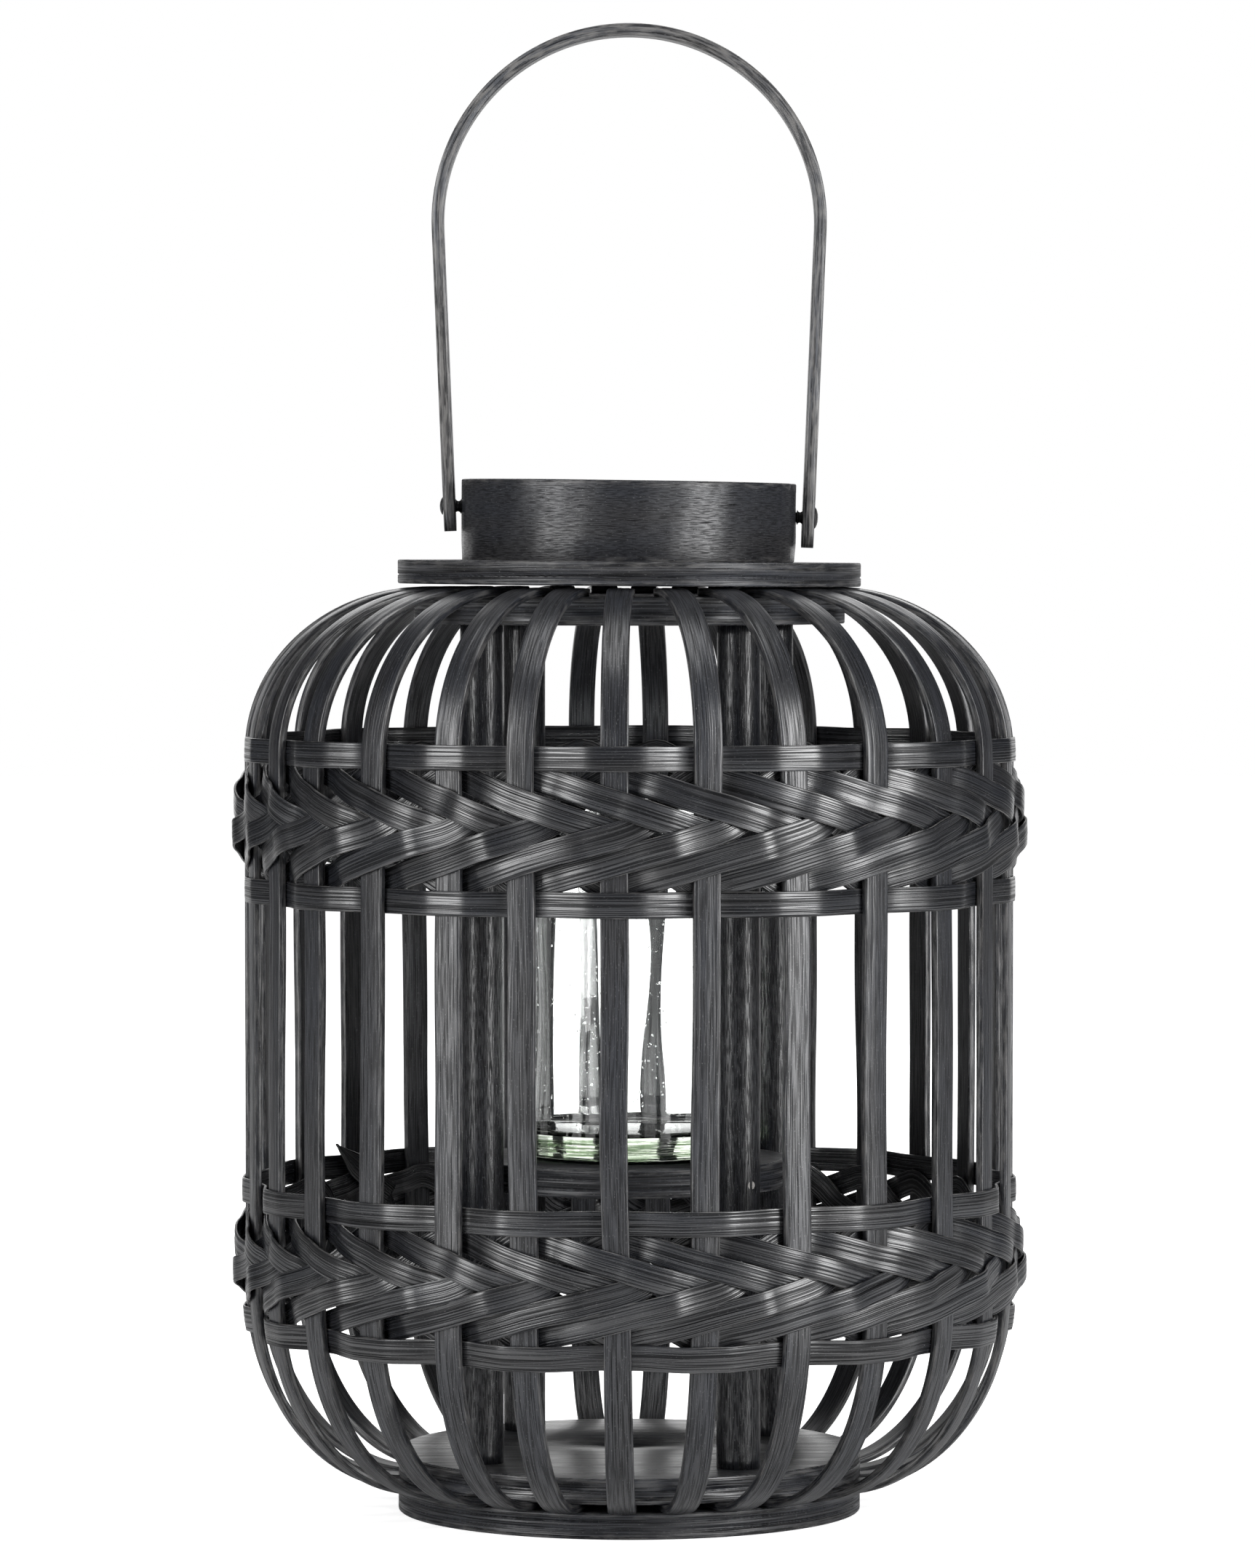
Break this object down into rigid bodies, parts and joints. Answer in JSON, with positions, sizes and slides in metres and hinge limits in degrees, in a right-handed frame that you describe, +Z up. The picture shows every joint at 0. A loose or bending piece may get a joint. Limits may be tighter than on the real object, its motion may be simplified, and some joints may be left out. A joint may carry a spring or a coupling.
{
  "type": "candle lantern",
  "caption": "Black-stained bamboo barrel lantern with bent ribs, two woven bands, round boards, a glass candle cup, a collar and a bail handle.",
  "frame": {"origin": "centre of the underside of the base disc", "axes": "+Z up the lantern's axis, -Y the front, handle pivots along X"},
  "size_m": [0.2914, 0.2924, 0.5441],
  "materials": {
    "bamboo_board": "black stain, satin lacquer",
    "bamboo_dowel": "black stain, semi-gloss",
    "bamboo_strip": "black stain, semi-gloss over fine fibre",
    "woven_strip": "black stain, semi-gloss over fine fibre",
    "bent_collar": "black stain, semi-gloss",
    "handle_strip": "black stain, satin",
    "rivet": "black enamel",
    "fastener_steel": "dull steel",
    "clear_glass": "clear, slightly wavy"
  },
  "bodies": {
    "lantern_frame": {"base_disc": "bamboo_board", "floor_disc": "bamboo_board", "shelf_disc": "bamboo_board", "top_ring": "bamboo_board", "top_plate": "bamboo_board", "post_1": "bamboo_dowel", "post_2": "bamboo_dowel", "post_3": "bamboo_dowel", "post_4": "bamboo_dowel", "rib_01": "bamboo_strip", "rib_02": "bamboo_strip", "rib_03": "bamboo_strip", "rib_04": "bamboo_strip", "rib_05": "bamboo_strip", "rib_06": "bamboo_strip", "rib_07": "bamboo_strip", "rib_08": "bamboo_strip", "rib_09": "bamboo_strip", "rib_10": "bamboo_strip", "rib_11": "bamboo_strip", "rib_12": "bamboo_strip", "rib_13": "bamboo_strip", "rib_14": "bamboo_strip", "rib_15": "bamboo_strip", "rib_16": "bamboo_strip", "rib_17": "bamboo_strip", "rib_18": "bamboo_strip", "rib_19": "bamboo_strip", "rib_20": "bamboo_strip", "rib_21": "bamboo_strip", "rib_22": "bamboo_strip", "rib_23": "bamboo_strip", "rib_24": "bamboo_strip", "rib_25": "bamboo_strip", "rib_26": "bamboo_strip", "rib_27": "bamboo_strip", "rib_28": "bamboo_strip", "upper_band_top_hoop": "woven_strip", "upper_band_bottom_hoop": "woven_strip", "upper_band_weaver_1": "woven_strip", "upper_band_weaver_2": "woven_strip", "lower_band_top_hoop": "woven_strip", "lower_band_bottom_hoop": "woven_strip", "lower_band_weaver_1": "woven_strip", "lower_band_weaver_2": "woven_strip", "collar": "bent_collar", "rivet_left": "rivet", "rivet_right": "rivet", "base_screws": "fastener_steel", "top_screws": "fastener_steel", "shelf_brads": "fastener_steel"},
    "handle": {"handle": "handle_strip"},
    "glass": {"glass_cup": "clear_glass"}
  },
  "joints": [
    {"name": "handle_hinge", "type": "hinge", "parent": "lantern_frame", "child": "handle", "pos_m": [0, 0, 0.366], "axis": [0.9995, 0, -0.0332], "range_deg": [-99, 99]},
    {"name": "glass_lift", "type": "slide", "parent": "lantern_frame", "child": "glass", "axis": [0, 0, 1], "range_m": [0, 0.253]}
  ]
}
